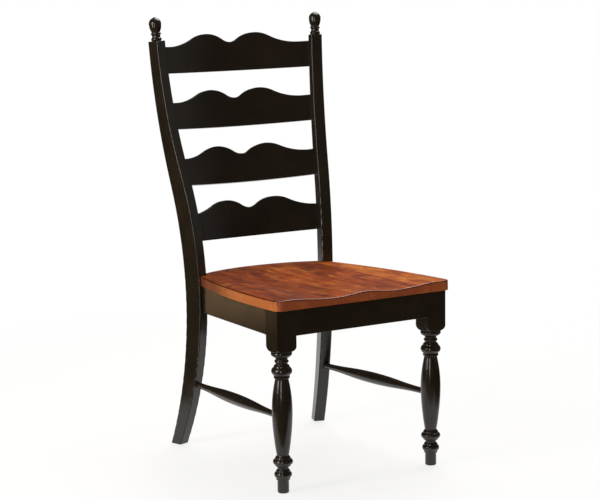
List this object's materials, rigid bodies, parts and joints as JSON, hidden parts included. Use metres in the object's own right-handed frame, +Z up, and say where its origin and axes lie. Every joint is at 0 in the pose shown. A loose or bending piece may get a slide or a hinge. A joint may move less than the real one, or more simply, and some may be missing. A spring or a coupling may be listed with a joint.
{
  "type": "ladderback chair",
  "caption": "Ladderback dining chair with sabre-curved posts, scalloped bent slats, a scooped wooden saddle seat and turned front legs.",
  "frame": {"origin": "on the floor, under the middle of the chair's bounding box", "axes": "+X to the sitter's left-right across the chair, +Y from the front edge of the seat to the back, +Z up"},
  "size_m": [0.4948, 0.635, 1.0751],
  "materials": {
    "black_lacquer": "black semi-gloss lacquer over wood",
    "stained_seat": "brown-stained, lacquered hardwood",
    "plain_wood": "bare planed hardwood",
    "dowel_wood": "bare fluted dowel wood",
    "screw_steel": "zinc-plated steel"
  },
  "bodies": {
    "root": {"apron_front": "black_lacquer", "apron_left": "black_lacquer", "apron_rear": "black_lacquer", "apron_right": "black_lacquer", "corner_brace_front_left": "plain_wood", "corner_brace_front_right": "plain_wood", "corner_brace_rear_left": "plain_wood", "corner_brace_rear_right": "plain_wood", "corner_brace_screws": "screw_steel", "finial_left": "black_lacquer", "finial_right": "black_lacquer", "front_apron_dowels": "dowel_wood", "front_leg_left": "black_lacquer", "front_leg_right": "black_lacquer", "ladder_slat_1": "black_lacquer", "ladder_slat_2": "black_lacquer", "ladder_slat_3": "black_lacquer", "ladder_slat_4": "black_lacquer", "rear_apron_dowels": "dowel_wood", "rear_post_left": "black_lacquer", "rear_post_right": "black_lacquer", "seat": "stained_seat", "seat_screws": "screw_steel", "side_apron_front_dowels": "dowel_wood", "side_apron_rear_dowels": "dowel_wood", "side_stretcher_left": "black_lacquer", "side_stretcher_right": "black_lacquer"}
  },
  "joints": []
}
